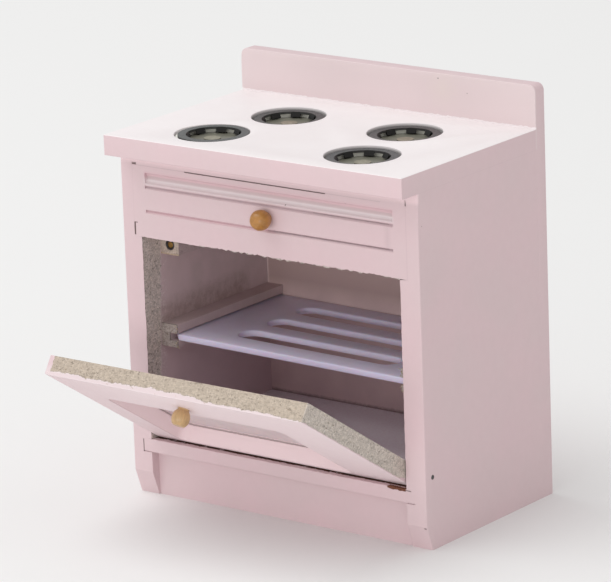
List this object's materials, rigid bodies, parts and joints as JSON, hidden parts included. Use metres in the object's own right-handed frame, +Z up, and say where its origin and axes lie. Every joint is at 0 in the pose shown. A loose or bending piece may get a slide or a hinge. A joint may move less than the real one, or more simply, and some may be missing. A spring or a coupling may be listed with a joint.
{
  "type": "toy oven",
  "caption": "Free-standing toy oven in pink painted board, with a drop-down door with a window, a slotted shelf on grooved rails, a false drawer front and toothed burner rings in the worktop.",
  "frame": {"origin": "middle of the back panel's underside, on the surface that the oven stands on", "axes": "+Z up, +X to the right seen from the front, -Y towards the front, where the door is"},
  "size_m": [0.076, 0.0782, 0.0882],
  "materials": {
    "pink_paint": "pale pink satin paint on fibreboard",
    "top_paint": "near-white pink satin paint on fibreboard",
    "raw_board": "bare sawn fibreboard",
    "knob_wood": "turned pale wood, lacquered",
    "lilac_plastic": "pale lilac translucent plastic",
    "pane_sheet": "thin frosted sheet",
    "dark_steel": "dark phosphated steel",
    "bright_metal": "bright pressed metal",
    "brass": "dull brass"
  },
  "bodies": {
    "body": {"left_side": "pink_paint", "right_side": "pink_paint", "back_panel": "pink_paint", "worktop": "top_paint", "kick_board": "pink_paint", "oven_floor": "pink_paint", "drawer_front": "pink_paint", "drawer_knob": "knob_wood", "catch_batten": "raw_board", "catch_cup": "dark_steel", "catch_magnet": "brass", "shelf_rail_left": "pink_paint", "shelf_rail_right": "pink_paint", "hinge_pin_left": "dark_steel", "hinge_pin_right": "dark_steel", "burner_ring_1": "dark_steel", "burner_ring_2": "dark_steel", "burner_ring_3": "dark_steel", "burner_ring_4": "dark_steel", "burner_cup_1": "bright_metal", "burner_cup_2": "bright_metal", "burner_cup_3": "bright_metal", "burner_cup_4": "bright_metal", "burner_tacks": "brass"},
    "door": {"door_frame": "pink_paint", "door_pane": "pane_sheet", "door_knob": "knob_wood", "door_tack": "dark_steel"},
    "shelf": {"oven_shelf": "lilac_plastic"}
  },
  "joints": [
    {"name": "door_hinge", "type": "hinge", "parent": "body", "child": "door", "pos_m": [0, -0.0409, 0.01534], "axis": [1, 0, 0], "range_deg": [-57, 33]},
    {"name": "shelf_slide", "type": "slide", "parent": "body", "child": "shelf", "axis": [0, -1, 0], "range_m": [0, 0.0005]}
  ]
}
